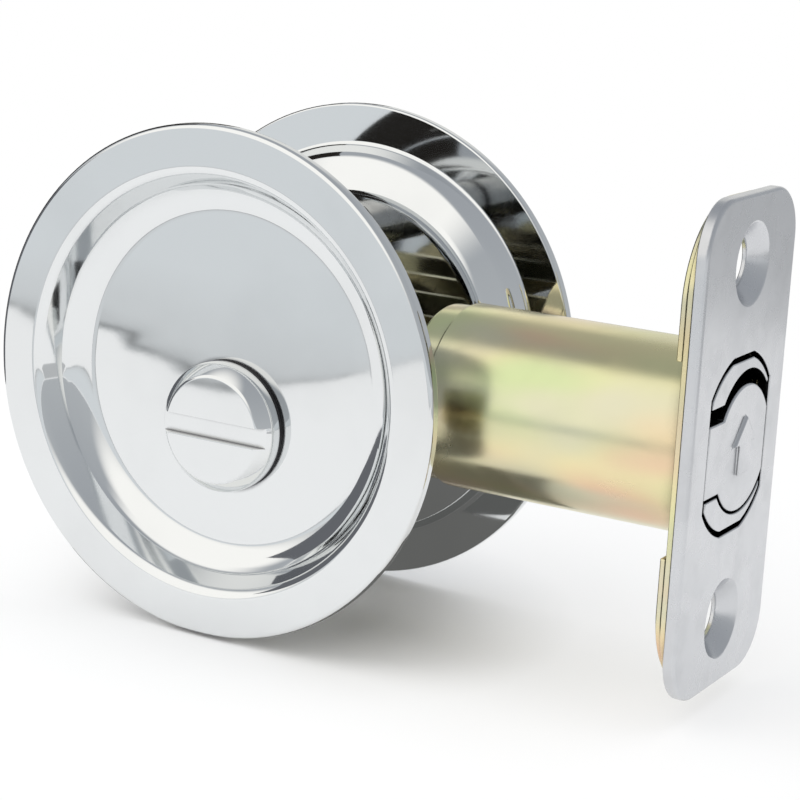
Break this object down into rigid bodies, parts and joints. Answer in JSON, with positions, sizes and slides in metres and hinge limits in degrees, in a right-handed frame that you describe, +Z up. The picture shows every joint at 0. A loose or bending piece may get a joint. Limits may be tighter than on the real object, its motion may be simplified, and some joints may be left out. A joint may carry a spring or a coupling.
{
  "type": "pocket door lock",
  "caption": "Round privacy lock for a sliding pocket door: flush cup pulls on both sides, a coin-slot button outside, a thumb bar inside and a claw bolt in a tubular latch.",
  "frame": {"origin": "crossing of the cross-bore axis and the latch centreline, half way through the door", "axes": "+X along the latch towards the faceplate, -Y to the outside of the door, +Z up"},
  "size_m": [0.0916, 0.0362, 0.062],
  "materials": {
    "chrome": "bright polished plate",
    "satin_chrome": "satin plate",
    "yellow_zinc": "yellow dichromate over zinc, faintly iridescent",
    "bright_zinc": "bright zinc plate",
    "spring_steel": "oiled spring steel",
    "black_plastic": "moulded black"
  },
  "bodies": {
    "lock_case": {"outside_rose": "chrome", "inside_rose": "chrome", "faceplate": "satin_chrome", "latch_tube": "yellow_zinc", "backing_plate": "yellow_zinc", "mounting_ears": "yellow_zinc", "outside_cheek": "yellow_zinc", "inside_cheek": "yellow_zinc", "screw_posts": "bright_zinc", "through_screws": "bright_zinc", "cheek_rivets": "bright_zinc", "bolt_guides": "bright_zinc", "detent_spring": "spring_steel", "outside_washer": "black_plastic", "inside_washer": "black_plastic"},
    "turn": {"outside_button": "chrome", "inside_turn": "chrome", "spindle": "bright_zinc", "hub": "bright_zinc", "outside_clip": "spring_steel", "inside_clip": "spring_steel"},
    "bolt": {"bolt_nose": "satin_chrome", "drive_bar": "bright_zinc", "bar_rivets": "bright_zinc", "claw_pins": "bright_zinc", "claw_spring": "spring_steel"},
    "upper_claw": {"upper_claw": "satin_chrome"},
    "lower_claw": {"lower_claw": "satin_chrome"}
  },
  "joints": [
    {"name": "turn", "type": "hinge", "parent": "lock_case", "child": "turn", "pos_m": [0, 0, -0.0057], "axis": [0, 1, 0], "range_deg": [0, 90], "deforming": ["detent_spring"]},
    {"name": "bolt_throw", "type": "slide", "parent": "lock_case", "child": "bolt", "axis": [1, 0, 0], "range_m": [0, 0.012]},
    {"name": "upper_claw_swing", "type": "hinge", "parent": "bolt", "child": "upper_claw", "pos_m": [0.0343, 0, 0.0069], "axis": [0, -1, 0], "range_deg": [0, 5.5]},
    {"name": "lower_claw_swing", "type": "hinge", "parent": "bolt", "child": "lower_claw", "pos_m": [0.0343, 0, -0.0069], "axis": [0, 1, 0], "range_deg": [0, 5.5]}
  ],
  "couplings": [
    {"joint": "bolt_throw", "follows": "turn", "m_per_rad": 0.007},
    {"joint": "upper_claw_swing", "follows": "turn", "ratio": 0.0555},
    {"joint": "lower_claw_swing", "follows": "turn", "ratio": 0.0555}
  ]
}
